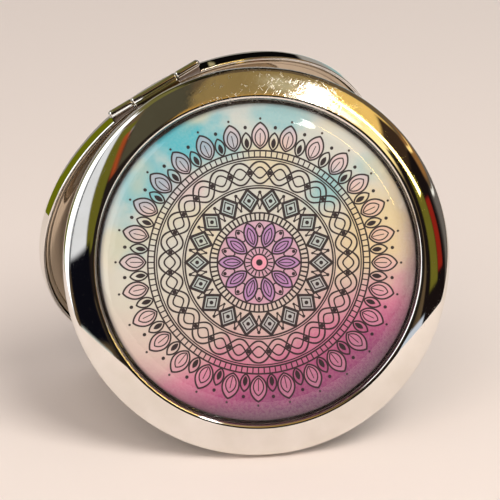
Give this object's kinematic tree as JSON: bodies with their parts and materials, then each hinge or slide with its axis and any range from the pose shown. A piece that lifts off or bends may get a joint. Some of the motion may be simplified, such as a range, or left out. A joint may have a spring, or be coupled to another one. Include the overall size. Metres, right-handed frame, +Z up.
{
  "type": "compact mirror",
  "caption": "Round hinged compact with polished metal halves, a domed printed insert in its lid, mirrors inside and a sprung push-button latch.",
  "frame": {"origin": "on the floor under the middle of the compact, which stands open on its rims", "axes": "+Z up, lid towards -Y, base towards +Y, hinge at the top and rolled towards -X"},
  "size_m": [0.0692, 0.0594, 0.0676],
  "materials": {
    "chrome": "polished chrome plate",
    "steel": "plated steel",
    "mirror": "silvered glass",
    "dome": "clear and glossy",
    "print": "printed paper",
    "adhesive": "adhesive film",
    "frame": "warm metallised plastic",
    "tape": "double-sided tape",
    "pad": "foam pad"
  },
  "bodies": {
    "base": {"base_shell": "chrome", "base_mirror_frame": "frame", "base_mirror": "mirror", "base_mirror_pad": "pad", "base_hinge_leaf_left": "chrome", "base_hinge_leaf_right": "chrome", "hinge_pin": "steel", "button_spring": "steel"},
    "lid": {"lid_shell": "chrome", "insert_adhesive": "adhesive", "insert_print": "print", "insert_dome": "dome", "lid_mirror_frame": "frame", "lid_mirror": "mirror", "lid_mirror_tape": "tape", "lid_hinge_leaf": "chrome", "catch_hook": "steel", "catch_rivets": "steel"},
    "button": {"release_button": "chrome"}
  },
  "joints": [
    {"name": "lid_hinge", "type": "hinge", "parent": "base", "child": "lid", "pos_m": [-0.015, -0.00056, 0.06285], "axis": [-0.8919, 0, -0.4523], "range_deg": [-44, 136]},
    {"name": "button_press", "type": "slide", "parent": "base", "child": "button", "axis": [-0.4194, -0.3746, 0.8269], "range_m": [0, 0.0009], "stiffness_N_per_m": 600, "springref_m": -0.003, "deforming": ["button_spring"]}
  ]
}
